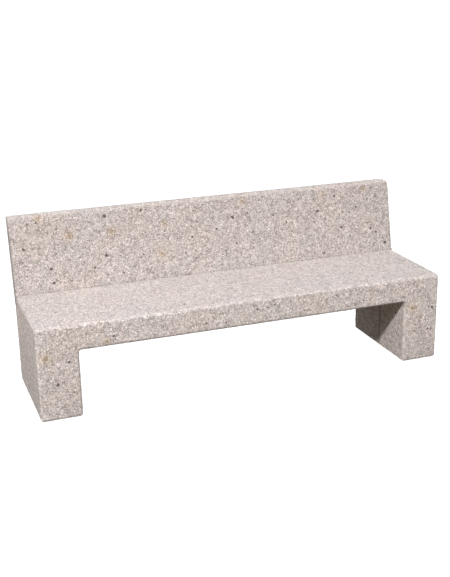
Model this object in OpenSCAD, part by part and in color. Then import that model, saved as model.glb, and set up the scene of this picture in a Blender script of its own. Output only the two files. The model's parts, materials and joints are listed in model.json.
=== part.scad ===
// Park bench with a leaning back, put together from four precast concrete pieces: two legs, a seat
// slab and a backrest slab. They stand on mortar beds and are held by steel dowels set in grout.
// +Z is up, +X runs along the seat, and a sitter faces -Y. The origin is on the ground, under the
// middle of the bench's overall box.

/* [Seat] */
// Length of the bench along X
bench_length = 2000; // [1600:20:2400]
// Height of the seat above the ground
seat_height = 440; // [400:5:480]
// Depth of the seat slab and the legs, front to rear
seat_depth = 530; // [500:5:600]
// Thickness of the seat slab
seat_thickness = 125; // [120:5:150]

/* [Legs] */
// Width of each leg along X
leg_width = 190; // [180:5:260]

/* [Backrest] */
// Height of the backrest's top above the ground
bench_height = 810; // [760:5:900]
// Thickness of the backrest slab
back_thickness = 60; // [55:5:80]
// Angle of the backrest from upright
back_lean = 11; // [6:1:14]
// Depth at the rear face of the rebate that the backrest stands in
rebate_depth = 55; // [48:1:58]

/* [Edges and joints] */
// Width of the chamfer on every exposed edge
chamfer = 8; // [3:1:14]
// Thickness of each mortar joint
joint = 3; // [2:0.5:5]
// How far the mortar lies back from the concrete's faces
joint_recess = 1.5; // [0.5:0.5:3]

/* [Dowels] */
// Diameter of the dowels between a leg and the seat
leg_dowel_d = 16; // [12:1:18]
// Length of the dowels between a leg and the seat
leg_dowel_length = 150; // [120:5:150]
// Distance between the two dowels across a leg
leg_dowel_pitch_x = 80; // [70:2:84]
// Diameter of the dowels between the seat and the backrest
back_dowel_d = 12; // [8:1:12]
// Reach of a backrest dowel into the seat slab
back_dowel_in_seat = 45; // [30:1:46]
// Reach of a backrest dowel into the backrest slab
back_dowel_in_back = 75; // [40:5:80]
// Number of backrest dowels
back_dowel_count = 6; // [4:1:8]
// Thickness of the grout round a dowel
grout = 3; // [2:0.5:4]

/* [Reinforcement] */
// Concrete cover outside the stirrups and ties
cover = 30; // [28:1:32]
// Diameter of the stirrups and ties
stirrup_d = 8; // [6:1:8]
// Number of stirrups in the seat slab
stirrup_count = 9; // [7:2:11]
// Diameter of the seat's lower bars
seat_lower_bar_d = 12; // [8:1:12]
// Diameter of the seat's upper bars
seat_upper_bar_d = 10; // [8:1:12]
// Diameter of the legs' upright bars
leg_bar_d = 10; // [8:1:12]
// Diameter of the backrest's lengthwise bars
back_long_bar_d = 8; // [6:1:8]
// Diameter of the backrest's upright bars
back_upright_bar_d = 6; // [5:1:8]

/* [Fixing sockets] */
// Bore of a fixing socket, the tapping size of an M16 thread
socket_bore_d = 14; // [10:0.2:14]
// Outer diameter of a fixing socket
socket_d = 22; // [18:1:24]
// Length of a fixing socket
socket_length = 75; // [70:1:90]
// Depth of a socket's bore
socket_bore_depth = 55; // [40:1:58]
// Distance between the two sockets of a leg along Y
socket_pitch_y = 330; // [260:5:360]
// Diameter of the cross pin that anchors a socket
socket_pin_d = 8; // [6:1:8]
// Length of the cross pin
socket_pin_length = 70; // [50:5:90]

/* [Hidden] */
$fn = 48;

LEFT = -1;
RIGHT = 1;
// Space left between bars that cross, so that tied bars never share volume
bar_gap = 0.5;
// Overshoot of a cutting body
over = 10;

lean_sin = sin(back_lean);
lean_cos = cos(back_lean);
underside = seat_height - seat_thickness;
leg_height = underside - joint;
rebate_z = seat_height - rebate_depth;
// Length of the backrest slab along its own slope, up from the rebate's floor
back_height = (bench_height - rebate_z - (back_thickness - chamfer) * lean_sin) / lean_cos;
overall_depth = seat_depth + (back_height - chamfer) * lean_sin;
front = -overall_depth / 2;
rear = front + seat_depth;

leg_x = (bench_length - leg_width) / 2;
leg_clear = bench_length - 2 * leg_width;
leg_middle_y = front + seat_depth / 2;
// The dowels lie between the seat's lower bars, in the first and last bay
leg_dowel_ys = [front + 0.2 * seat_depth, front + 0.69 * seat_depth];
leg_dowel_z = underside - joint / 2;
leg_grout_d = leg_dowel_d + 2 * grout;
back_grout_d = back_dowel_d + 2 * grout;
back_dowel_pitch = (bench_length - 200) / (back_dowel_count - 1);

// The seat's cage: centre lines of the stirrups' four runs, a whole number of millimetres apart
cage_depth = floor(seat_depth - (back_thickness + joint) * lean_cos - 2 * cover - stirrup_d / 2);
cage_front = front + cover + stirrup_d / 2;
cage_rear = cage_front + cage_depth;
cage_low = underside + cover + stirrup_d / 2;
cage_high = seat_height - cover - stirrup_d / 2;
stirrup_pitch = 2 * leg_x / (stirrup_count - 1);
lower_bar_in = (stirrup_d + seat_lower_bar_d) / 2 + bar_gap;
upper_bar_in = (stirrup_d + seat_upper_bar_d) / 2 + bar_gap;
seat_bar_length = bench_length - 2 * cover;

// The backrest's mesh: lengthwise bars on the rear side of the upright ones
back_bar_offset = (back_long_bar_d + back_upright_bar_d) / 4 + bar_gap / 2;
back_bar_bottom = joint + back_dowel_in_back + grout + 28;
back_bar_top = back_height - 40;
back_bar_rows = 4;

leg_tie_levels = [cover + 10, leg_height / 2, leg_height - cover - 12];
leg_bar_in = cover + stirrup_d + leg_bar_d / 2 + bar_gap;

concrete = [0.80, 0.75, 0.72];
mortar = [0.62, 0.60, 0.57];
resin_grout = [0.45, 0.46, 0.46];
bar_steel = [0.38, 0.30, 0.26];
dowel_steel = [0.66, 0.67, 0.68];
zinc = [0.74, 0.75, 0.74];

// A rectangle whose four corners are cut by c, counted from the lower left one anticlockwise
function cut_rectangle(w, h, c) = concat(
    c[0] > 0 ? [[0, c[0]], [c[0], 0]] : [[0, 0]],
    c[1] > 0 ? [[w - c[1], 0], [w, c[1]]] : [[w, 0]],
    c[2] > 0 ? [[w, h - c[2]], [w - c[2], h]] : [[w, h]],
    c[3] > 0 ? [[c[3], h], [0, h - c[3]]] : [[0, h]]
);

// A block from the origin whose edges are cut: plan holds the upright edges' chamfers, side those
// of the edges along X and end those of the edges along Y
module cut_block(size, plan, side, end) {
    intersection() {
        linear_extrude(size[2]) polygon(cut_rectangle(size[0], size[1], plan));
        rotate([90, 0, 90]) linear_extrude(size[0]) polygon(cut_rectangle(size[1], size[2], side));
        translate([0, size[1], 0])
            rotate([90, 0, 0])
                linear_extrude(size[1]) polygon(cut_rectangle(size[0], size[2], end));
    }
}

// The backrest's own frame: the origin on the rebate's rear edge, +Z up the slope, +Y out of its rear
module on_slope() {
    translate([0, rear, rebate_z]) rotate([-back_lean, 0, 0]) children();
}

// A round bar along X, centred
module bar_x(d, length) {
    rotate([0, 90, 0]) cylinder(d = d, h = length, center = true);
}

// A closed loop of bent bar in the XY plane, w by h between centre lines
module bar_loop(w, h, d) {
    bend = 2 * d;
    for (turn = [0, 1], flip = [0, 1]) {
        run = turn == 0 ? w : h;
        reach = turn == 0 ? h : w;
        rotate([0, 0, 90 * turn + 180 * flip]) translate([0, reach / 2, 0]) bar_x(d, run - 2 * bend);
    }
    for (x = [-1, 1], y = [-1, 1]) {
        start = x > 0 ? (y > 0 ? 0 : 270) : (y > 0 ? 90 : 180);
        translate([x * (w / 2 - bend), y * (h / 2 - bend), 0])
            rotate([0, 0, start])
                rotate_extrude(angle = 90) translate([bend, 0]) circle(d = d);
    }
}

module at_leg_dowels(side) {
    for (x = [-1, 1], y = leg_dowel_ys)
        translate([side * leg_x + x * leg_dowel_pitch_x / 2, y, leg_dowel_z]) children();
}

module leg_dowel() {
    cylinder(d = leg_dowel_d, h = leg_dowel_length, center = true);
}

module leg_dowel_hole() {
    cylinder(d = leg_grout_d, h = leg_dowel_length + 2 * grout, center = true);
}

module at_back_dowels() {
    on_slope()
        for (i = [0 : back_dowel_count - 1])
            translate([(i - (back_dowel_count - 1) / 2) * back_dowel_pitch, -back_thickness / 2, 0])
                children();
}

module back_dowel() {
    translate([0, 0, -back_dowel_in_seat])
        cylinder(d = back_dowel_d, h = back_dowel_in_seat + joint + back_dowel_in_back);
}

module back_dowel_hole() {
    translate([0, 0, -back_dowel_in_seat - grout])
        cylinder(d = back_grout_d, h = back_dowel_in_seat + joint + back_dowel_in_back + 2 * grout);
}

module at_sockets(side) {
    for (y = [-1, 1])
        translate([side * leg_x, leg_middle_y + y * socket_pitch_y / 2, 0]) children();
}

module socket_pin() {
    translate([0, 0, socket_length - 2 * socket_pin_d + socket_pin_d / 2])
        bar_x(socket_pin_d, socket_pin_length);
}

// Everything cast into a leg
module leg_inserts(side) {
    leg_upright_bars(side);
    leg_ties(side);
    at_leg_dowels(side) leg_dowel_hole();
    at_sockets(side) cylinder(d = socket_d, h = socket_length);
    at_sockets(side) socket_pin();
}

module leg(side) {
    color(concrete)
        difference() {
            translate([side * leg_x - leg_width / 2, front, 0])
                cut_block(
                    [leg_width, seat_depth, leg_height],
                    plan = [chamfer, chamfer, chamfer, chamfer],
                    side = [chamfer, chamfer, 0, 0],
                    end = [chamfer, chamfer, 0, 0]
                );
            leg_inserts(side);
        }
}

module leg_upright_bars(side) {
    for (x = [-1, 1], y = [-1, 0, 1])
        translate([
            side * leg_x + x * (leg_width / 2 - leg_bar_in),
            leg_middle_y + y * (seat_depth / 2 - leg_bar_in),
            cover
        ])
            cylinder(d = leg_bar_d, h = leg_height - 2 * cover);
}

module leg_bars(side) {
    color(bar_steel) leg_upright_bars(side);
}

module leg_ties(side) {
    inset = 2 * cover + stirrup_d;
    color(bar_steel)
        for (z = leg_tie_levels)
            translate([side * leg_x, leg_middle_y, z])
                bar_loop(leg_width - inset, seat_depth - inset, stirrup_d);
}

module leg_mortar(side) {
    w = leg_width - 2 * joint_recess;
    depth = seat_depth - 2 * joint_recess;
    color(mortar)
        difference() {
            translate([side * leg_x - w / 2, front + joint_recess, leg_height])
                linear_extrude(joint) polygon(cut_rectangle(w, depth, [chamfer, chamfer, chamfer, chamfer]));
            at_leg_dowels(side) leg_dowel_hole();
        }
}

module leg_dowels(side) {
    color(dowel_steel) at_leg_dowels(side) leg_dowel();
}

module dowel_grout(side) {
    color(resin_grout)
        at_leg_dowels(side)
            difference() {
                leg_dowel_hole();
                leg_dowel();
            }
}

module fixing_sockets(side) {
    color(zinc)
        difference() {
            at_sockets(side)
                difference() {
                    cylinder(d = socket_d, h = socket_length);
                    translate([0, 0, -over]) cylinder(d = socket_bore_d, h = socket_bore_depth + over);
                }
            at_sockets(side) socket_pin();
        }
}

module socket_pins(side) {
    color(bar_steel) at_sockets(side) socket_pin();
}

// The seat slab before its rebate is cut
module seat_blank() {
    translate([-bench_length / 2, front, underside])
        cut_block(
            [bench_length, seat_depth, seat_thickness],
            plan = [chamfer, chamfer, chamfer, chamfer],
            side = [0, 0, 0, chamfer],
            end = [0, 0, chamfer, chamfer]
        );
}

// The step along the seat's rear edge that the backrest stands in
module rebate() {
    on_slope()
        translate([-bench_length / 2 - over, -back_thickness - joint, 0])
            cube([bench_length + 2 * over, back_thickness + joint + 2 * over, 2 * rebate_depth]);
}

// Chamfers along the slab's lower edges, where no leg stands under them
module lower_edge_chamfers() {
    for (edge = [[front, 1], [rear, -1]])
        translate([0, edge[0], underside])
            rotate([45, 0, 0])
                cube([leg_clear, chamfer * sqrt(2), chamfer * sqrt(2)], center = true);
}

module seat_slab() {
    color(concrete)
        difference() {
            seat_blank();
            rebate();
            lower_edge_chamfers();
            lower_bar_set();
            upper_bar_set();
            stirrup_set();
            at_back_dowels() back_dowel_hole();
            for (side = [LEFT, RIGHT]) at_leg_dowels(side) leg_dowel_hole();
        }
}

module lower_bar_set() {
    first = cage_front + lower_bar_in;
    last = cage_rear - lower_bar_in;
    for (i = [0 : 3])
        translate([0, first + i * (last - first) / 3, cage_low + lower_bar_in])
            bar_x(seat_lower_bar_d, seat_bar_length);
}

module seat_lower_bars() {
    color(bar_steel) lower_bar_set();
}

module upper_bar_set() {
    first = cage_front + upper_bar_in;
    last = cage_rear - upper_bar_in;
    for (i = [0 : 2])
        translate([0, first + i * (last - first) / 2, cage_high - upper_bar_in])
            bar_x(seat_upper_bar_d, seat_bar_length);
}

module seat_upper_bars() {
    color(bar_steel) upper_bar_set();
}

module stirrup_set() {
    for (i = [0 : stirrup_count - 1])
        translate([
            (i - (stirrup_count - 1) / 2) * stirrup_pitch,
            (cage_front + cage_rear) / 2,
            (cage_low + cage_high) / 2
        ])
            rotate([90, 0, 90])
                bar_loop(cage_depth, cage_high - cage_low, stirrup_d);
}

module seat_stirrups() {
    color(bar_steel) stirrup_set();
}

module back_blank() {
    on_slope()
        translate([-bench_length / 2, -back_thickness, joint])
            cut_block(
                [bench_length, back_thickness, back_height - joint],
                plan = [chamfer, chamfer, chamfer, chamfer],
                side = [0, 0, chamfer, chamfer],
                end = [0, 0, chamfer, chamfer]
            );
}

module back_long_bar_set() {
    on_slope()
        for (i = [0 : back_bar_rows - 1])
            translate([
                0,
                -back_thickness / 2 + back_bar_offset,
                back_bar_bottom + i * (back_bar_top - back_bar_bottom) / (back_bar_rows - 1)
            ])
                bar_x(back_long_bar_d, seat_bar_length);
}

module backrest_long_bars() {
    color(bar_steel) back_long_bar_set();
}

// One upright bar half way between each pair of dowels, and one near each end
module back_upright_bar_set() {
    edge = seat_bar_length / 2 - 15;
    middles = [
        for (i = [0 : back_dowel_count - 2]) (i - (back_dowel_count - 2) / 2) * back_dowel_pitch
    ];
    on_slope()
        for (x = concat([-edge], middles, [edge]))
            translate([x, -back_thickness / 2 - back_bar_offset, joint + cover])
                cylinder(d = back_upright_bar_d, h = back_height - joint - 2 * cover);
}

module backrest_upright_bars() {
    color(bar_steel) back_upright_bar_set();
}

module backrest_slab() {
    color(concrete)
        difference() {
            back_blank();
            back_long_bar_set();
            back_upright_bar_set();
            at_back_dowels() back_dowel_hole();
        }
}

module backrest_mortar() {
    color(mortar)
        difference() {
            intersection() {
                seat_blank();
                on_slope()
                    translate([-bench_length / 2 + joint_recess, -back_thickness - joint, 0])
                        cube([
                            bench_length - 2 * joint_recess,
                            back_thickness + joint - joint_recess,
                            2 * rebate_depth
                        ]);
                translate([-bench_length / 2, front, underside])
                    cube([bench_length, seat_depth, seat_thickness - joint_recess]);
            }
            back_blank();
            at_back_dowels() back_dowel_hole();
        }
}

module backrest_dowels() {
    color(dowel_steel) at_back_dowels() back_dowel();
}

module backrest_dowel_grout() {
    color(resin_grout)
        at_back_dowels()
            difference() {
                back_dowel_hole();
                back_dowel();
            }
}

seat_slab();
leg(LEFT);  // left_leg
leg(RIGHT);  // right_leg
backrest_slab();
leg_mortar(LEFT);  // left_leg_mortar
leg_mortar(RIGHT);  // right_leg_mortar
backrest_mortar();
leg_dowels(LEFT);  // left_leg_dowels
leg_dowels(RIGHT);  // right_leg_dowels
backrest_dowels();
dowel_grout(LEFT);  // left_dowel_grout
dowel_grout(RIGHT);  // right_dowel_grout
backrest_dowel_grout();
seat_lower_bars();
seat_upper_bars();
seat_stirrups();
backrest_long_bars();
backrest_upright_bars();
leg_bars(LEFT);  // left_leg_bars
leg_bars(RIGHT);  // right_leg_bars
leg_ties(LEFT);  // left_leg_ties
leg_ties(RIGHT);  // right_leg_ties
fixing_sockets(LEFT);  // left_fixing_sockets
fixing_sockets(RIGHT);  // right_fixing_sockets
socket_pins(LEFT);  // left_socket_pins
socket_pins(RIGHT);  // right_socket_pins
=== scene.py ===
"""Precast concrete bench with a leaning back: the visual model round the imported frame.

The four concrete pieces are rebuilt with rounded, slightly chipped arrises and a blasted surface of
exposed stones. Everything is in metres in the frame's own axes: +Z up, +X along the seat, and a
sitter faces -Y.
"""

import json
import math

import bmesh
import bpy
import numpy as np
from mathutils import Euler, Matrix, Vector, noise

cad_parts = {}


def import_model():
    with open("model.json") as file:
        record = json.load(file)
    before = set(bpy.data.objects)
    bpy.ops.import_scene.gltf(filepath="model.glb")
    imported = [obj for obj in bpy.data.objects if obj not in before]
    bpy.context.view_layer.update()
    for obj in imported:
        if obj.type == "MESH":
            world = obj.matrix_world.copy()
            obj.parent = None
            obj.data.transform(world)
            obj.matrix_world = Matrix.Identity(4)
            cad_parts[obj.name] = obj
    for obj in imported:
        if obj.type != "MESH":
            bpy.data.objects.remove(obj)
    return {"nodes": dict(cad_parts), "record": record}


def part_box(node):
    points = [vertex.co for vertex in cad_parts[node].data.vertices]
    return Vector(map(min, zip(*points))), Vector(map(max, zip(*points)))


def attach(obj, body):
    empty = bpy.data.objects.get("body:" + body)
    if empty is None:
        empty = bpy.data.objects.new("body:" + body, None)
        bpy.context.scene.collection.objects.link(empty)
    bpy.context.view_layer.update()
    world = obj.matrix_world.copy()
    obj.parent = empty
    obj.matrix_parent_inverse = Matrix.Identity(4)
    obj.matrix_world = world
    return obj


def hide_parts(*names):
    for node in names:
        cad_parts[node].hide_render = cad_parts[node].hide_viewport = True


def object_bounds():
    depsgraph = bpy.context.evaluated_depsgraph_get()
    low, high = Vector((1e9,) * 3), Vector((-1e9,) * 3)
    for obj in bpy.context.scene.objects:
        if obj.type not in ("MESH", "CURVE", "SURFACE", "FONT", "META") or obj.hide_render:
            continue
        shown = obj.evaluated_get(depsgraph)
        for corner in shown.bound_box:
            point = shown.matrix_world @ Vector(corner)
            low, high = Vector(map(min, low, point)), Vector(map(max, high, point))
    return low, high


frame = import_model()
cad_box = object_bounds()

# ---------------------------------------------------------------- sizes, in metres

ARRIS = 0.015  # radius of the exposed edges of the seat and legs
BACK_ARRIS = 0.0075  # radius of the backrest's edges
BACK_CORNER = 0.038  # radius of its worn upper corner on the right
ARC_STEPS = 5  # grid lines across half of a rounded edge
GRID = 0.006  # spacing of the surface grid
TOUCH = 1e-6  # points this near to a line or face of the grid lie on it

SKIN = 0.0003  # least depth of the blasted paste below the tips of the stones
RELIEF = 0.0008  # further depth of the blasted surface's waviness
CHIP = 0.0016  # deepest chip along an arris
WAVE_SCALE = 60  # features a metre of the blasted surface's waves
BITE_SCALE = 38  # of the large chips
NICK_SCALE = 110  # of the small chips
SHARP_ANGLE = math.radians(38)  # least bend that is shaded as an edge

SEAM_SHARE = 0.47  # place of the mould seam on each leg's inner face, as a share of its depth
SEAM_WIDTH = 0.008
SEAM_DEPTH = 0.002
CREASE_SHADE = 0.004  # reach of the painted shade in the crease between seat and back
REBATE_REACH = 0.06  # how far in front of the rebate the seat's grid follows its leaning wall
FLOOR_REACH = 0.05  # how far below the rebate the seat's grid follows its sloping floor

# The CAD's own sizes for the leaning back, which the boxes of its nodes don't give
BACK_LEAN = math.radians(11)
BACK_THICKNESS = 0.060
REBATE_DEPTH = 0.055
JOINT = 0.003
CAD_CHAMFER = 0.008

# Larger stones: half their width and the reach of their stain are for each millimetre of width
STONE_HALF_WIDTH = 0.0011
STAIN_REACH = 0.0019
OCHRE_SHARE = 0.92  # width of an ochre stone itself, as a share of the width that sets its stain
DOME_HALF_DEPTH = 0.0025
DOME_SINK = 0.00005  # depth of a dome's tip below the face
EDGE_MARGIN = 0.03  # the least distance from a scattered stone to the edge of its face
REAR_START = 0.05  # place up the slope from which the back's rear face bears stones

SEED = 7

# ---------------------------------------------------------------- places, from the frame

seat_lo, seat_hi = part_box("seat_slab")
left_lo, left_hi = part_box("left_leg")
right_lo, right_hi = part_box("right_leg")
bench_lo, bench_hi = cad_box

lean_sin = math.sin(BACK_LEAN)
lean_cos = math.cos(BACK_LEAN)
rebate_z = seat_hi.z - REBATE_DEPTH
back_height = (
    bench_hi.z - rebate_z - (BACK_THICKNESS - CAD_CHAMFER) * lean_sin
) / lean_cos
# Where the backrest's front face meets the seat, up the slope from its foot
back_crease = REBATE_DEPTH / lean_cos - BACK_THICKNESS * lean_sin / lean_cos
# From the backrest's own frame, with +Z up its slope and +Y out of its rear, to the bench's
slope = Matrix.Translation((0, seat_hi.y, rebate_z)) @ Matrix.Rotation(-BACK_LEAN, 4, "X")


# ---------------------------------------------------------------- number and mesh tools


def rising(values, start, width):
    """0 up to the start, then evenly up to 1 over the width."""
    return ((values - start) / width).clip(0, 1)


def bell(distances, width):
    """1 at no distance, fading smoothly to nearly nothing at twice the width."""
    return np.exp(-((distances / width) ** 2))


def field(points, scale, seed, octaves=1):
    """Smooth noise from about -1 to 1 at the points, with some scale features a metre."""
    offset = Vector((seed * 17.3, seed * 5.1, seed * 9.7))
    total = np.zeros(len(points))
    for octave in range(octaves):
        size = scale * 2**octave
        total += [noise.noise(Vector(p) * size + offset) / 2**octave for p in points]
    return total


def ticks(stops, rounded=(True, True), radius=ARRIS):
    """Grid lines through the stops, close together at the ends that are rounded."""
    arc = radius * (1 - np.tan(np.linspace(math.pi / 4, 0, ARC_STEPS + 1)))
    first = stops[0] + arc if rounded[0] else np.array([stops[0]])
    last = stops[-1] - arc[::-1] if rounded[1] else np.array([stops[-1]])
    inner = [first[-1], *stops[1:-1], last[0]]
    lines = [first[:-1]]
    for a, b in zip(inner[:-1], inner[1:]):
        lines.append(np.linspace(a, b, max(1, round((b - a) / GRID)) + 1)[:-1])
    return np.concatenate([*lines, last])


def grid_shell(lines, empty=None):
    """Points and outward quads of the block on these lines, less the cells that empty picks."""
    middles = [(t[1:] + t[:-1]) / 2 for t in lines]
    solid = np.ones([len(m) for m in middles], bool)
    if empty:
        solid &= ~empty(*np.meshgrid(*middles, indexing="ij"))
    shape = [len(t) for t in lines]
    quads = []
    for axis in range(3):
        u, v = (axis + 1) % 3, (axis + 2) % 3
        padded = np.pad(solid, [(int(a == axis),) * 2 for a in range(3)])
        change = np.diff(padded.astype(np.int8), axis=axis)
        for way in (1, -1):
            at = np.argwhere(change == way)
            ring = []
            for du, dv in ((0, 0), (1, 0), (1, 1), (0, 1)):
                corner = at.copy()
                corner[:, u] += du
                corner[:, v] += dv
                ring.append(np.ravel_multi_index(corner.T, shape))
            quad = np.stack(ring, 1)
            quads.append(quad[:, ::-1] if way == 1 else quad)
    used, faces = np.unique(np.concatenate(quads), return_inverse=True)
    index = np.stack(np.unravel_index(used, shape), 1)
    points = np.stack([lines[a][index[:, a]] for a in range(3)], 1)
    return points, faces.reshape(-1, 4)


def round_off(points, lo, hi, inset_lo, inset_hi):
    """Pulls the points of a block onto its rounded form and says how deep in an arris each lies.

    inset_lo and inset_hi are the radii towards the low and high faces, one row a point; a face with
    none keeps its edges sharp.
    """
    inner_lo = np.array(lo) + inset_lo
    inner_hi = np.array(hi) - inset_hi
    inner = np.clip(points, inner_lo, inner_hi)
    reach = points - inner
    radius = np.where(reach < 0, inset_lo, inset_hi)
    share = np.divide(reach, radius, out=np.zeros_like(reach), where=radius > 1e-9)
    length = np.linalg.norm(share, axis=1, keepdims=True)
    outside = length > 1
    share = np.where(outside, share / np.maximum(length, 1e-9), share)
    arris = rising(length[:, 0], 1, 0.35)
    return np.where(outside, inner + share * radius, points), arris


def to_scene(name, data):
    """A new object in the scene, holding a mesh, a lamp or a camera."""
    obj = bpy.data.objects.new(name, data)
    bpy.context.collection.objects.link(obj)
    return obj


def to_object(name, points, faces, attributes):
    """A smoothly shaded mesh object, with named numbers on its points."""
    mesh = bpy.data.meshes.new(name)
    mesh.from_pydata(points.tolist(), [], faces.tolist())
    mesh.polygons.foreach_set("use_smooth", [True] * len(mesh.polygons))
    for key, values in attributes.items():
        mesh.attributes.new(key, "FLOAT", "POINT").data.foreach_set("value", values)
    mesh.update()
    return to_scene(name, mesh)


def from_bmesh(name, shape):
    """A mesh object made of the bmesh, which is used up."""
    mesh = bpy.data.meshes.new(name)
    shape.to_mesh(mesh)
    shape.free()
    return to_scene(name, mesh)


def read_rows(items, key):
    """One of a mesh's lists of vectors as an array, one row each."""
    values = np.empty(len(items) * 3)
    items.foreach_get(key, values)
    return values.reshape(-1, 3)


def weather(obj, arris, seed, place=Matrix()):
    """Blasts the surface and chips the arrises, always inwards, then sets the piece in place."""
    mesh = obj.data
    points = read_rows(mesh.vertices, "co")
    normals = read_rows(mesh.vertex_normals, "vector")
    relief = SKIN + RELIEF * (0.5 + 0.5 * field(points, WAVE_SCALE, seed, 2).clip(-1, 1))
    bites = (field(points, BITE_SCALE, seed + 1, 2) - 0.28).clip(0, 1) * 2.2
    nicks = (field(points, NICK_SCALE, seed + 2) - 0.25).clip(0, 1) * 1.4
    depth = relief + arris * CHIP * (bites + 0.35 * nicks).clip(0, 1)
    points = points - normals * depth[:, None]
    mesh.vertices.foreach_set("co", points.ravel())
    mesh.transform(place)
    mesh.set_sharp_from_angle(angle=SHARP_ANGLE)
    mesh.attributes.new("stain", "FLOAT", "POINT").data.foreach_set("value", stains(mesh))
    mesh.update()


def cut_holes(obj, cutter):
    """Takes the cutter out of the object for good, and deletes the cutter."""
    modifier = obj.modifiers.new("holes", "BOOLEAN")
    modifier.operation = "DIFFERENCE"
    modifier.solver = "EXACT"
    modifier.object = cutter
    bpy.context.view_layer.update()
    shaped = obj.evaluated_get(bpy.context.evaluated_depsgraph_get())
    mesh = bpy.data.meshes.new_from_object(shaped)
    obj.modifiers.clear()
    obj.data = mesh
    mesh.set_sharp_from_angle(angle=SHARP_ANGLE)
    bpy.data.objects.remove(cutter)


# ---------------------------------------------------------------- concrete pieces

# Lightness of each casting; the legs are dulled towards the ground
SEAT_TONE = 1.135
LEG_TONE = 1.04
BACK_TONE = 0.93


def socket_cutter(name, side):
    """Two upright rods where the fixing sockets stand in one leg's foot."""
    lo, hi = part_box(f"{side}_fixing_sockets")
    radius = (hi.x - lo.x) / 2
    rods = bmesh.new()
    for y in (lo.y + radius, hi.y - radius):
        bmesh.ops.create_cone(
            rods,
            cap_ends=True,
            segments=48,
            radius1=radius,
            radius2=radius,
            depth=2 * (hi.z - lo.z),
            matrix=Matrix.Translation(((lo.x + hi.x) / 2, y, 0)),
        )
    return from_bmesh(name, rods)


def leg(side, lo, hi, seed):
    """A block leg, rounded everywhere but at its top, with round holes for its fixing sockets."""
    name = f"bench_{side}_leg"
    seam = lo.y + SEAM_SHARE * (hi.y - lo.y)
    points, faces = grid_shell(
        [
            ticks((lo.x, hi.x)),
            ticks((lo.y, seam - SEAM_WIDTH / 2, seam, seam + SEAM_WIDTH / 2, hi.y)),
            ticks((lo.z, hi.z), (True, False)),
        ]
    )
    inner = lo.x if lo.x > 0 else hi.x
    from_seam = points[:, 1] - seam
    on_inner = np.abs(points[:, 0] - inner) < TOUCH
    in_seam = on_inner & (np.abs(from_seam) < TOUCH)
    # Painted shade along the groove of the mould seam on the inner face
    painted_shade = 0.95 * on_inner * bell(from_seam, SEAM_WIDTH)
    inset_lo = np.full(points.shape, ARRIS)
    inset_hi = np.full(points.shape, ARRIS)
    inset_hi[:, 2] = 0
    points, arris = round_off(points, lo, hi, inset_lo, inset_hi)
    points[in_seam, 0] -= math.copysign(SEAM_DEPTH, inner - (lo.x + hi.x) / 2)
    tone = LEG_TONE + (SEAT_TONE - LEG_TONE) * (points[:, 2] / hi.z) ** 2
    looks = {"arris": arris, "wear_and_painted_light": arris * 0.35, "painted_shade": painted_shade, "tone": tone}
    obj = to_object(name, points, faces, looks)
    weather(obj, arris, seed)
    cut_holes(obj, socket_cutter(name + "_holes", side))
    return obj


def seat_slab(name, lo, hi):
    """The seat slab with the rebate for the back, its lower edges rounded only between the legs."""
    wall = hi.y - (BACK_THICKNESS + JOINT) * lean_cos
    floor_z = rebate_z + (BACK_THICKNESS + JOINT) * lean_sin
    span = (left_hi.x, right_lo.x)
    points, faces = grid_shell(
        [
            ticks((lo.x, span[0], span[1], hi.x)),
            ticks((lo.y, wall, hi.y)),
            ticks((lo.z, floor_z, hi.z)),
        ],
        lambda x, y, z: (y > wall) & (z > floor_z),
    )
    between = (points[:, 0] > span[0] + TOUCH) & (points[:, 0] < span[1] - TOUCH)
    inset_lo = np.full(points.shape, ARRIS)
    inset_hi = np.full(points.shape, ARRIS)
    inset_lo[:, 2] = np.where(between, ARRIS, 0)
    points, arris = round_off(points, lo, hi, inset_lo, inset_hi)
    # Lean the rebate's wall and drop its floor towards the rear, letting the nearby grid follow
    tilt = math.tan(BACK_LEAN)
    rise = (points[:, 2] - floor_z).clip(0, None)
    near_wall = (1 - np.abs(points[:, 1] - wall) / REBATE_REACH).clip(0, 1)
    run = (points[:, 1] - wall).clip(0, None)
    near_floor = (1 - np.abs(points[:, 2] - floor_z) / FLOOR_REACH).clip(0, 1)
    points[:, 1] += tilt * rise * near_wall
    points[:, 2] -= tilt * run * near_floor
    top = rising(points[:, 2], hi.z - 0.4 * ARRIS, 0.3 * ARRIS)
    # Painted shade on the seat's top along the crease where the back stands
    painted_shade = 0.25 * bell(points[:, 1] - wall, CREASE_SHADE) * top
    wear_and_painted_light = np.maximum(0.5 * top, 0.6 * arris)
    # Painted shade on the arrises, which dims their highlight
    tone = SEAT_TONE - 0.14 * arris
    looks = {"arris": arris, "wear_and_painted_light": wear_and_painted_light, "painted_shade": painted_shade, "tone": tone}
    obj = to_object(name, points, faces, looks)
    weather(obj, arris, SEED + 20)
    return obj


def wear_corner(points, hi):
    """Squeezes the square at the upper right corner, BACK_CORNER wide, into a quarter disc."""
    across = ((points[:, 0] - hi.x) / BACK_CORNER + 1).clip(0, 1)
    up = ((points[:, 2] - hi.z) / BACK_CORNER + 1).clip(0, 1)
    both = (across > 0) & (up > 0)
    points[both, 0] = hi.x + BACK_CORNER * (across * np.sqrt(1 - up**2 / 2) - 1)[both]
    points[both, 2] = hi.z + BACK_CORNER * (up * np.sqrt(1 - across**2 / 2) - 1)[both]


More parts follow.
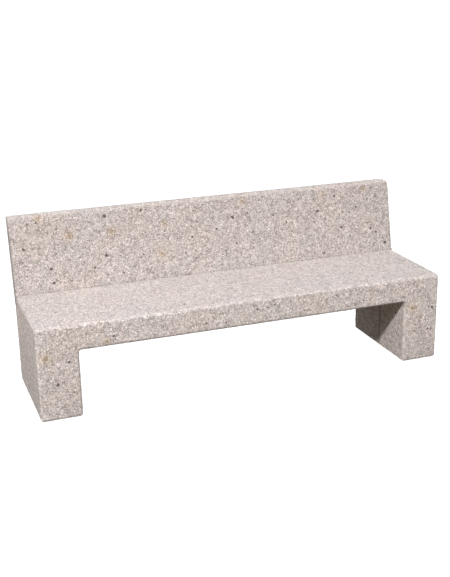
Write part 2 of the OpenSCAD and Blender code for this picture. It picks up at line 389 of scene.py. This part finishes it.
def backrest(name):
    """The leaning back; its front end arrises start above the seat, where its foot is let in."""
    half = seat_hi.x
    lo = Vector((-half, -BACK_THICKNESS, JOINT))
    hi = Vector((half, 0, back_height))
    points, faces = grid_shell(
        [
            ticks((lo.x, hi.x), radius=BACK_ARRIS),
            ticks((lo.y, hi.y), radius=BACK_ARRIS),
            ticks((lo.z, back_crease, hi.z), (False, True), BACK_ARRIS),
        ]
    )
    grown = rising(points[:, 2], back_crease, 2 * BACK_ARRIS)
    front = points[:, 1] < -BACK_THICKNESS / 2
    ends = np.where(front, BACK_ARRIS * grown, BACK_ARRIS)
    inset_lo = np.stack([ends, BACK_ARRIS * grown, np.zeros(len(points))], 1)
    inset_hi = np.full(points.shape, BACK_ARRIS)
    inset_hi[:, 0] = ends
    points, arris = round_off(points, lo, hi, inset_lo, inset_hi)
    wear_corner(points, hi)
    # Painted shade along the foot of the back's front face, in the crease with the seat
    painted_shade = 0.5 * bell(points[:, 2] - back_crease, CREASE_SHADE)
    # Painted light in a paler band along the top, and painted shade on the top arris and the two
    # ends
    top = rising(points[:, 2], hi.z - 3.4 * BACK_ARRIS, 1.2 * BACK_ARRIS)
    shaded_lid = rising(points[:, 2], hi.z - 1.2 * BACK_ARRIS, 0.6 * BACK_ARRIS)
    shaded_end = rising(np.abs(points[:, 0]), half - BACK_ARRIS, 0.6 * BACK_ARRIS)
    tone = BACK_TONE + 0.08 * top - 0.13 * shaded_lid - 0.20 * shaded_end * (1 - shaded_lid)
    # Paler and smoother on the worn arrises, and paler as painted light in the band along the top
    wear_and_painted_light = np.maximum(0.7 * top, 0.35 * arris)
    looks = {"arris": arris, "wear_and_painted_light": wear_and_painted_light, "painted_shade": painted_shade, "tone": tone}
    obj = to_object(name, points, faces, looks)
    weather(obj, arris, SEED + 30, slope)
    return obj


# ---------------------------------------------------------------- larger stones in the surface


def box_face(lo, hi, axis, way):
    """One face of a box: its corner, its two edges and its outward normal.

    way is -1 for the low side of the axis and 1 for the high side.
    """
    corner = Vector(lo)
    if way > 0:
        corner[axis] = hi[axis]
    edges = []
    for other in range(3):
        if other != axis:
            edge = Vector((0, 0, 0))
            edge[other] = hi[other] - lo[other]
            edges.append(edge)
    normal = Vector((0, 0, 0))
    normal[axis] = way
    return (corner, *edges, normal)


def slope_face(y, foot, way):
    """The front or rear face of the leaning back, from foot up its slope to its top."""
    turn = slope.to_3x3()
    corner = slope @ Vector((bench_lo.x, y, foot))
    along = Vector((bench_hi.x - bench_lo.x, 0, 0))
    up = turn @ Vector((0, 0, 1)) * (back_height - foot)
    return (corner, along, up, turn @ Vector((0, way, 0)))


back_face = slope_face(-BACK_THICKNESS, back_crease, -1)
back_rear = slope_face(0, REAR_START, 1)
seat_front = box_face(seat_lo, seat_hi, 1, -1)
seat_top = box_face(seat_lo, seat_hi, 2, 1)
seat_rear = box_face(seat_lo, seat_hi, 1, 1)
left_front = box_face(left_lo, left_hi, 1, -1)
right_front = box_face(right_lo, right_hi, 1, -1)
right_inner = box_face(right_lo, right_hi, 0, -1)
unseen_sides = [box_face(left_lo, left_hi, 0, 1), box_face(right_lo, right_hi, 0, 1)]

# Share of the way along and up the face, and the stone's width in millimetres
DARK_STONES = [
    (back_face, 0.98, 0.11, 12),
    (back_face, 0.23, 0.88, 11),
    (back_face, 0.555, 0.69, 12),
    (back_face, 0.225, 0.38, 12),
    (back_face, 0.79, 0.65, 11),
    (back_face, 0.445, 0.49, 8),
    (back_face, 0.94, 0.33, 9),
    (back_face, 0.70, 0.55, 8),
    (back_face, 0.03, 0.57, 9),
    (back_face, 0.32, 0.91, 8),
    (back_face, 0.09, 0.29, 9),
    (back_face, 0.093, 0.11, 9),
    (back_face, 0.80, 0.06, 9),
    (back_face, 0.855, 0.39, 9),
    (back_face, 0.51, 0.56, 7),
    (back_face, 0.84, 0.83, 9),
    (back_face, 0.56, 0.34, 7),
    (back_face, 0.595, 0.725, 7),
    (back_face, 0.665, 0.66, 7),
    (back_face, 0.90, 0.65, 8),
    (back_face, 0.955, 0.27, 8),
    (seat_front, 0.173, 0.38, 8),
    (seat_front, 0.54, 0.62, 6),
    (seat_top, 0.35, 0.135, 9),
    (seat_top, 0.066, 0.365, 8),
    (left_front, 0.45, 0.55, 10),
    (left_front, 0.74, 0.87, 7),
    (right_front, 0.82, 0.87, 10),
    (right_front, 0.82, 0.51, 7),
    (right_inner, 0.17, 0.75, 11),
]
OCHRE_STONES = [
    (back_face, 0.072, 0.935, 13),
    (back_face, 0.14, 0.68, 14),
    (back_face, 0.243, 0.68, 12),
    (back_face, 0.363, 0.32, 12),
    (back_face, 0.584, 0.89, 10),
    (back_face, 0.375, 0.70, 10),
    (back_face, 0.925, 0.885, 9),
    (back_face, 0.806, 0.86, 8),
    (left_front, 0.205, 0.965, 17),
    (seat_front, 0.157, 0.22, 10),
    (right_front, 0.226, 0.90, 14),
]


def on_face(face, a, b):
    """The place a share a of the way along the face and a share b of the way up it."""
    corner, along, up, _ = face
    return corner + a * along + b * up


def stains(mesh):
    """How strongly each point is stained by the ochre stones near it, from 0 to 1."""
    points = read_rows(mesh.vertices, "co")
    total = np.zeros(len(points))
    for face, a, b, width in OCHRE_STONES:
        gap = np.linalg.norm(points - np.array(on_face(face, a, b)), axis=1)
        total += bell(gap, STAIN_REACH * width)
    return total.clip(0, 1)


def scatter(faces, per_square_metre, widths, seed):
    """Stones at seeded random places on the faces, clear of their edges."""
    random = np.random.default_rng(seed)
    stones = []
    for face in faces:
        u, v = face[1].length, face[2].length
        for _ in range(round(per_square_metre * u * v)):
            a = random.uniform(EDGE_MARGIN, u - EDGE_MARGIN) / u
            b = random.uniform(EDGE_MARGIN, v - EDGE_MARGIN) / v
            stones.append((face, a, b, random.uniform(*widths)))
    return stones


def unit_ball():
    """Points and triangles of a ball of radius 1."""
    ball = bmesh.new()
    bmesh.ops.create_icosphere(ball, subdivisions=3, radius=1)
    points = np.array([v.co for v in ball.verts])
    triangles = np.array([[v.index for v in f.verts] for f in ball.faces])
    ball.free()
    return points, triangles


def stone_domes(name, stones, seed):
    """Low worn domes of stone, each with its tip in the face it sits in."""
    random = np.random.default_rng(seed)
    unit, triangles = unit_ball()
    points, faces = [], []
    for face, a, b, width in stones:
        _, along, up, normal = face
        turn = random.uniform(0, 2 * math.pi)
        long_way = math.cos(turn) * along.normalized() + math.sin(turn) * up.normalized()
        axes = np.array([long_way, normal.cross(long_way), normal])
        half = STONE_HALF_WIDTH * width
        stretch = random.uniform(0.8, 1.25)
        size = np.array([half * stretch, half / stretch, DOME_HALF_DEPTH])
        lumps = 1 + 0.16 * field(unit, 1.6, seed + random.uniform(0, 50))[:, None]
        shaped = unit * size * np.where([True, True, False], lumps, 1)
        middle = on_face(face, a, b) - normal * (DOME_HALF_DEPTH + DOME_SINK)
        faces.append(triangles + sum(len(p) for p in points))
        points.append(shaped @ axes + np.array(middle))
    return to_object(name, np.concatenate(points), np.concatenate(faces), {})


# ---------------------------------------------------------------- materials


class Nodes:
    """Short calls that add shader nodes to one material or world and link them."""

    def __init__(self, owner, shader="Principled BSDF"):
        owner.use_nodes = True
        self.owner = owner
        self.tree = owner.node_tree
        self.shader = self.tree.nodes[shader]

    def put(self, socket, value):
        """Links the value to the socket if it comes from a node, and else sets it there."""
        if isinstance(value, bpy.types.NodeSocket):
            self.tree.links.new(value, socket)
        else:
            socket.default_value = value

    def add(self, kind, values=(), **settings):
        node = self.tree.nodes.new("ShaderNode" + kind)
        for key, value in settings.items():
            setattr(node, key, value)
        for key, value in dict(values).items():
            self.put(node.inputs[key], value)
        return node

    def to_shader(self, **sockets):
        for key, value in sockets.items():
            self.put(self.shader.inputs[key.replace("_", " ")], value)

    def math(self, operation, a, b=0.0, c=0.0):
        return self.add("Math", {0: a, 1: b, 2: c}, operation=operation).outputs[0]

    def times(self, a, b):
        return self.math("MULTIPLY", a, b)

    def times_plus(self, value, factor, offset):
        return self.math("MULTIPLY_ADD", value, factor, offset)

    def larger(self, a, b):
        return self.math("MAXIMUM", a, b)

    def ramp(self, value, low, high, out_low=0.0, out_high=1.0):
        """value from low to high, mapped smoothly onto out_low to out_high."""
        limits = {"From Min": low, "From Max": high, "To Min": out_low, "To Max": out_high}
        node = self.add("MapRange", {"Value": value, **limits}, interpolation_type="SMOOTHSTEP")
        return node.outputs["Result"]

    def mix(self, factor, a, b, blend="MIX"):
        node = self.add("Mix", {"Factor": factor}, data_type="RGBA", blend_type=blend)
        for socket, value in ((6, a), (7, b)):
            self.put(node.inputs[socket], (*value, 1) if isinstance(value, tuple) else value)
        return node.outputs[2]

    def tint(self, colour, factor):
        """The colour times one number."""
        grey = self.add("CombineColor", {key: factor for key in ("Red", "Green", "Blue")})
        return self.mix(1.0, colour, grey.outputs[0], "MULTIPLY")

    def colours(self, value, stops, interpolation):
        """The value's colour on a scale of stops, which are places from 0 to 1 and colours."""
        node = self.add("ValToRGB", {"Fac": value})
        ramp = node.color_ramp
        ramp.interpolation = interpolation
        while len(ramp.elements) < len(stops):
            ramp.elements.new(0.5)
        for element, (position, colour) in zip(ramp.elements, stops):
            element.position = position
            element.color = (*colour, 1)
        return node.outputs["Color"]

    def place(self, output="Object"):
        """The position in the object, or the direction from the middle of a world."""
        return self.add("TexCoord").outputs[output]

    def noise(self, where, scale, detail=2.0, roughness=0.5):
        values = {"Vector": where, "Scale": scale, "Detail": detail, "Roughness": roughness}
        return self.add("TexNoise", values).outputs["Fac"]

    def cells(self, where, scale):
        """Distance to the nearest cell's middle, and that cell's own random colour in three."""
        node = self.add("TexVoronoi", {"Vector": where, "Scale": scale})
        split = self.add("SeparateColor", {"Color": node.outputs["Color"]})
        return node.outputs["Distance"], *split.outputs[:3]

    def cell_edge(self, where, scale):
        """Distance to the nearest border between cells, which match those of cells()."""
        values = {"Vector": where, "Scale": scale}
        return self.add("TexVoronoi", values, feature="DISTANCE_TO_EDGE").outputs["Distance"]

    def vector(self, operation, values):
        return self.add("VectorMath", values, operation=operation).outputs[0]

    def warp(self, where, scale, reach):
        """The position, pushed about by smooth noise by up to about half the reach."""
        values = {"Vector": where, "Scale": scale, "Detail": 1.0}
        push = self.add("TexNoise", values).outputs["Color"]
        push = self.vector("SUBTRACT", {0: push, 1: (0.5, 0.5, 0.5)})
        push = self.vector("SCALE", {0: push, "Scale": reach})
        return self.vector("ADD", {0: where, 1: push})

    def attribute(self, name):
        return self.add("Attribute", attribute_name=name).outputs["Fac"]

    def bump(self, height, strength, distance):
        """Gives the shader the bumps of this height."""
        values = {"Height": height, "Strength": strength, "Distance": distance}
        self.to_shader(Normal=self.add("Bump", values).outputs[0])


def new_material(name):
    return Nodes(bpy.data.materials.new(name))


# Cells or features a metre: stones of about 11 mm and of 5 mm, dark grains and fine grit
STONE_CELLS = 88.0
SMALL_CELLS = 205.0
GRAIN_CELLS = 150.0
GRIT_SCALE = 520.0

# Colours of the stones, each from its place on a scale of random picks up to the next one's
STONE_COLOURS = [
    (0.00, (0.640, 0.575, 0.545)),
    (0.26, (0.690, 0.632, 0.605)),
    (0.46, (0.600, 0.548, 0.525)),
    (0.64, (0.665, 0.585, 0.560)),
    (0.80, (0.555, 0.508, 0.488)),
    (0.92, (0.580, 0.498, 0.455)),
    (0.96, (0.430, 0.382, 0.360)),
]
GRAIN_COLOUR = (0.13, 0.11, 0.10)
PASTE_COLOUR = (0.69, 0.640, 0.622)

# Tints, which multiply the colour
COOL_CLOUD = (0.99, 0.996, 1.0)
WARM_CLOUD = (1.015, 0.99, 0.982)
OCHRE_STAIN = (0.97, 0.895, 0.73)
GAP_SHADOW = (0.19, 0.160, 0.148)


def stone_gaps(n, where, bent, edge, small_edge):
    """How deep the painted shade is in the gaps, open in some places and full of paste in others,
    and in the cracks.
    """
    open_here = n.ramp(n.noise(where, 42.0), 0.36, 0.60)
    gaps = n.times(n.ramp(edge, 0.015, 0.13, 1.0, 0.0), n.times_plus(open_here, 0.42, 0.40))
    small_open = n.ramp(n.noise(where, 95.0), 0.42, 0.62)
    small_gaps = n.times(n.ramp(small_edge, 0.02, 0.20, 1.0, 0.0), small_open)
    line = n.math("ABSOLUTE", n.math("SUBTRACT", n.noise(bent, 62.0, 1.0), 0.5))
    cracked = n.ramp(n.noise(where, 70.0, 1.0), 0.42, 0.56)
    cracks = n.times(n.ramp(line, 0.0, 0.035, 1.0, 0.0), cracked)
    return n.larger(gaps, n.larger(n.times(small_gaps, 0.7), cracks)), cracks


def stone_body(n, where, bent, pick, tone, grit):
    """The stones' own colours, of both sizes, with grit and scattered dark grains."""
    _, small_pick, _, small_tone = n.cells(bent, SMALL_CELLS)
    large = n.colours(pick, STONE_COLOURS, "CONSTANT")
    small = n.colours(small_pick, STONE_COLOURS, "CONSTANT")
    body = n.mix(0.45, large, small)
    body = n.tint(body, n.ramp(tone, 0.0, 1.0, 0.88, 1.07))
    body = n.tint(body, n.ramp(small_tone, 0.0, 1.0, 0.92, 1.07))
    body = n.tint(body, n.ramp(grit, 0.3, 0.7, 0.90, 1.10))
    grain_far, grain_pick, _, _ = n.cells(where, GRAIN_CELLS)
    chosen = n.math("GREATER_THAN", grain_pick, 0.89)
    grain = n.times(n.ramp(grain_far, 0.26, 0.36, 1.0, 0.0), chosen)
    return n.mix(n.times(grain, 0.92), body, GRAIN_COLOUR)


def clouded(n, where, body):
    """The colour under clouds some 10 to 30 cm across, mottling of centimetres and ochre stain."""
    cloud = n.noise(where, 5.5, 3.0, 0.55)
    warm = n.mix(n.ramp(cloud, 0.38, 0.66), COOL_CLOUD, WARM_CLOUD)
    body = n.mix(1.0, body, warm, "MULTIPLY")
    mottle = n.noise(where, 24.0, 3.0, 0.6)
    body = n.tint(body, n.ramp(mottle, 0.30, 0.70, 0.98, 1.02))
    stained = n.mix(1.0, body, OCHRE_STAIN, "MULTIPLY")
    return n.mix(n.times(n.attribute("stain"), 0.85), body, stained)


def aggregate(name):
    """Blasted concrete: pale stones bedded closely in paste, with painted shade in the gaps between
    them.

    Numbers on the points steer it. From 0 to 1, the wear and painted light number makes it smoother
    and paler, as on the worn seat and arrises and as painted light along the back's top; arris
    makes it a little smoother, the painted shade number darker, as painted shade in the crease and
    the leg seams, and stain ochre. Tone multiplies its lightness, and also paints light and shade
    on the back's top and ends and on the seat's arrises.
    """
    n = new_material(name)
    where = n.place()
    wear_and_painted_light = n.attribute("wear_and_painted_light")
    bent = n.warp(n.warp(where, 75.0, 0.0105), 240.0, 0.0025)
    edge = n.cell_edge(bent, STONE_CELLS)
    small_edge = n.cell_edge(bent, SMALL_CELLS)
    _, pick, size, tone = n.cells(bent, STONE_CELLS)
    grit = n.noise(where, GRIT_SCALE, 3.0, 0.65)

    dark, cracks = stone_gaps(n, where, bent, edge, small_edge)
    # Painted shade in the crease between seat and back and in the legs' seams, added to that of the
    # gaps
    dark = n.larger(dark, n.times(n.attribute("painted_shade"), 0.75))
    body = clouded(n, where, stone_body(n, where, bent, pick, tone, grit))
    # Paler where worn, and as painted light along the top of the back
    skin = n.mix(n.times(wear_and_painted_light, 0.5), body, PASTE_COLOUR)
    skin = n.tint(skin, n.attribute("tone"))
    shadowed = n.mix(1.0, skin, GAP_SHADOW, "MULTIPLY")
    skin = n.mix(n.times(dark, n.times_plus(wear_and_painted_light, -0.25, 0.90)), skin, shadowed)
    n.to_shader(Base_Color=skin, IOR=1.46, Specular_IOR_Level=0.3)
    n.to_shader(Roughness=n.times_plus(dark, 0.10, n.times_plus(grit, 0.12, 0.72)))

    domes = n.times(n.ramp(edge, 0.0, 0.36), n.times_plus(size, 0.6, 0.5))
    height = n.times_plus(n.ramp(small_edge, 0.0, 0.3), 0.32, domes)
    height = n.times_plus(grit, 0.25, height)
    height = n.times_plus(cracks, -0.35, height)
    worn = n.larger(wear_and_painted_light, n.times(n.attribute("arris"), 0.3))
    n.bump(n.times(height, n.times_plus(worn, -0.5, 1.0)), 1.0, 0.0008)
    return n.owner


def stone(name, dark, light):
    """One kind of larger stone: slightly crystalline, and smoother than the paste round it."""
    n = new_material(name)
    where = n.place()
    _, pick, _, _ = n.cells(where, 420.0)
    veins = n.noise(where, 130.0, 3.0, 0.6)
    tone = n.times_plus(pick, 0.45, n.times(veins, 0.6))
    n.to_shader(Base_Color=n.mix(n.ramp(tone, 0.2, 0.85), dark, light))
    n.to_shader(Roughness=n.ramp(veins, 0.3, 0.7, 0.42, 0.62))
    n.bump(tone, 0.7, 0.0004)
    return n.owner


def granular(name, dark, light, scale, rough, depth, metallic=0.0):
    """A fine-grained solid such as mortar, grout or steel, from a dark to a light shade."""
    n = new_material(name)
    where = n.place()
    fine = n.noise(where, scale, 4.0, 0.62)
    broad = n.noise(where, scale / 14)
    tone = n.times_plus(broad, 0.4, n.times(fine, 0.6))
    n.to_shader(Base_Color=n.mix(n.ramp(tone, 0.32, 0.68), dark, light), Metallic=metallic)
    n.to_shader(Roughness=n.ramp(fine, 0.3, 0.7, rough - 0.08, rough + 0.08))
    n.bump(fine, 0.8, depth)
    return n.owner


# ---------------------------------------------------------------- scene

FLOOR_HALF = 45.0
BACKDROP_RADIUS = 40.0
BACKDROP_HEIGHT = 80.0
LOW_SKY = (0.062, 0.040, 0.011)
HIGH_SKY = (0.50, 0.51, 0.52)


def camera():
    """The photograph's viewing angle, from the left and above, fitted to the bench's edges."""
    data = bpy.data.cameras.new("camera")
    data.lens = 63.04
    data.sensor_width = 36
    data.shift_x = -0.0347
    data.shift_y = -0.0061
    obj = to_scene("camera", data)
    obj.location = (-1.607, -4.395, 1.976)
    obj.rotation_euler = Euler([math.radians(a) for a in (71.60, 0.632, -21.275)])
    bpy.context.scene.camera = obj


def floor():
    """A wide pale floor that gives no light back to the bench's underside."""
    shape = bmesh.new()
    bmesh.ops.create_grid(shape, x_segments=1, y_segments=1, size=FLOOR_HALF)
    obj = from_bmesh("floor", shape)
    n = new_material("floor")
    n.to_shader(Base_Color=(0.90, 0.90, 0.90, 1), Roughness=0.9)
    obj.data.materials.append(n.owner)
    obj.visible_diffuse = False
    return obj


def backdrop():
    """A white wall far round the bench, seen by the camera and giving the bench no light."""
    shape = bmesh.new()
    bmesh.ops.create_cone(
        shape,
        cap_ends=False,
        segments=96,
        radius1=BACKDROP_RADIUS,
        radius2=BACKDROP_RADIUS,
        depth=BACKDROP_HEIGHT,
    )
    obj = from_bmesh("backdrop", shape)
    n = new_material("backdrop")
    n.to_shader(Base_Color=(0, 0, 0, 1), Emission_Color=(1, 1, 1, 1), Emission_Strength=1.0)
    n.to_shader(Specular_IOR_Level=0.0)
    obj.data.materials.append(n.owner)
    for ray in ("diffuse", "glossy", "transmission", "shadow"):
        setattr(obj, "visible_" + ray, False)


def world():
    """A soft white sky, which is dim and warm below the horizon."""
    n = Nodes(bpy.data.worlds.new("studio"), "Background")
    bpy.context.scene.world = n.owner
    split = n.add("SeparateXYZ", {0: n.place("Generated")})
    rise = n.times_plus(split.outputs["Z"], 0.5, 0.5)
    sky = n.colours(rise, [(0.49, LOW_SKY), (0.80, HIGH_SKY)], "LINEAR")
    n.to_shader(Color=sky, Strength=1.0)


def aim(obj, travel):
    """Turns a lamp so that its light travels along the vector."""
    obj.rotation_euler = Vector(travel).to_track_quat("-Z", "Y").to_euler()


def link_light(obj, receivers, blockers=None):
    """Limits a lamp to lighting some objects, and its shadows to those that others cast."""
    for key, members in (("receiver_collection", receivers), ("blocker_collection", blockers)):
        if members:
            group = bpy.data.collections.new(obj.name + "_" + key)
            for member in members:
                group.objects.link(member)
            setattr(obj.light_linking, key, group)


def softbox(name, travel, strength, distance, width):
    """A square lamp, distance away from the bench, that lights its middle with strength W/m2."""
    data = bpy.data.lights.new(name, "AREA")
    data.energy = strength * math.pi * distance**2
    data.size = width
    obj = to_scene(name, data)
    obj.location = Vector((0, 0, seat_hi.z)) - Vector(travel).normalized() * distance
    aim(obj, travel)
    return obj


def sun(name, travel, strength, spread):
    """A distant lamp of strength W/m2, spread degrees wide."""
    data = bpy.data.lights.new(name, "SUN")
    data.energy = strength
    data.angle = math.radians(spread)
    obj = to_scene(name, data)
    aim(obj, travel)
    return obj


def lights(bench, ground):
    """A soft key and a front fill as in the photograph, and fills for the rear and right end.

    The floor has a light of its own, so the bench throws no shadow on it.
    """
    key = softbox("key", (0.91, 0.875, -1.0), strength=3.36, distance=15.5, width=1.2)
    link_light(key, bench)
    front_fill = sun("front_fill", (0.0, 1.0, -0.25), strength=1.3, spread=60.0)
    link_light(front_fill, bench)
    rear_fill = sun("rear_fill", (0.0, -1.0, 0.02), strength=1.9, spread=4.0)
    link_light(rear_fill, bench, bench)
    end_fill = sun("end_fill", (-1.0, 0.0, -0.02), strength=1.5, spread=4.0)
    link_light(end_fill, bench)
    floor_wash = sun("floor_wash", (0.0, 0.0, -1.0), strength=3.4, spread=20.0)
    link_light(floor_wash, [ground], [ground])


def concrete_pieces(concrete):
    """The four castings, which stand in for their CAD nodes."""
    pieces = {
        "seat_slab": seat_slab("bench_seat", seat_lo, seat_hi),
        "left_leg": leg("left", left_lo, left_hi, SEED + 8),
        "right_leg": leg("right", right_lo, right_hi, SEED + 9),
        "backrest_slab": backrest("bench_back"),
    }
    for node, piece in pieces.items():
        piece.data.materials.append(concrete)
        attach(piece, "root")
        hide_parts(node)
    return list(pieces.values())


def stone_pieces():
    """The larger stones: those of the two tables, and small dark ones scattered between them."""
    hidden = scatter([back_rear, seat_rear, *unseen_sides], 22, (6, 11), SEED)
    seen = scatter([back_face, seat_front, left_front, right_front], 45, (4.5, 6.5), SEED + 1)
    dark = stone_domes("dark_stones", DARK_STONES + hidden + seen, SEED + 2)
    ochre_cores = [(face, a, b, OCHRE_SHARE * width) for face, a, b, width in OCHRE_STONES]
    ochre = stone_domes("ochre_stones", ochre_cores, SEED + 3)
    dark.data.materials.append(stone("dark_stone", (0.050, 0.040, 0.036), (0.115, 0.095, 0.085)))
    ochre.data.materials.append(stone("ochre_stone", (0.225, 0.160, 0.105), (0.42, 0.330, 0.240)))
    for piece in (dark, ochre):
        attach(piece, "root")
    return [dark, ochre]


def mortar(name, dark, light):
    return granular(name, dark, light, scale=700.0, rough=0.9, depth=0.0004)


def cad_materials(concrete):
    """The material of each slot in the record."""
    return {
        "concrete": concrete,
        "concrete_seat": concrete,
        "mortar": mortar("pale_mortar", (0.46, 0.41, 0.38), (0.60, 0.54, 0.50)),
        "grout": granular(
            "grout",
            dark=(0.14, 0.145, 0.145),
            light=(0.24, 0.245, 0.24),
            scale=600.0,
            rough=0.8,
            depth=0.0003,
        ),
        "bar_steel": granular(
            "bar_steel",
            dark=(0.10, 0.045, 0.025),
            light=(0.26, 0.15, 0.10),
            scale=500.0,
            rough=0.7,
            depth=0.0003,
            metallic=0.4,
        ),
        "dowel_steel": granular(
            "dowel_steel",
            dark=(0.50, 0.50, 0.51),
            light=(0.66, 0.66, 0.67),
            scale=900.0,
            rough=0.35,
            depth=0.0001,
            metallic=1.0,
        ),
        "zinc_steel": granular(
            "zinc_steel",
            dark=(0.52, 0.54, 0.55),
            light=(0.72, 0.74, 0.75),
            scale=300.0,
            rough=0.45,
            depth=0.0001,
            metallic=1.0,
        ),
    }


def finish_cad_nodes(concrete):
    """Gives every CAD node the material of its slot; the joint behind the seat is a darker one."""
    materials = cad_materials(concrete)
    special = {"backrest_mortar": mortar("dark_mortar", (0.15, 0.13, 0.12), (0.26, 0.23, 0.21))}
    slots = {part["node"]: part["material_slot"] for part in frame["record"]["subparts"]}
    for name, obj in frame["nodes"].items():
        obj.data.materials.clear()
        obj.data.materials.append(special.get(name, materials[slots[name]]))


bpy.context.scene.view_settings.view_transform = "Standard"
camera()
concrete = aggregate("concrete")
pieces = concrete_pieces(concrete) + stone_pieces()
finish_cad_nodes(concrete)
ground = floor()
lights([*pieces, *frame["nodes"].values()], ground)
world()
backdrop()
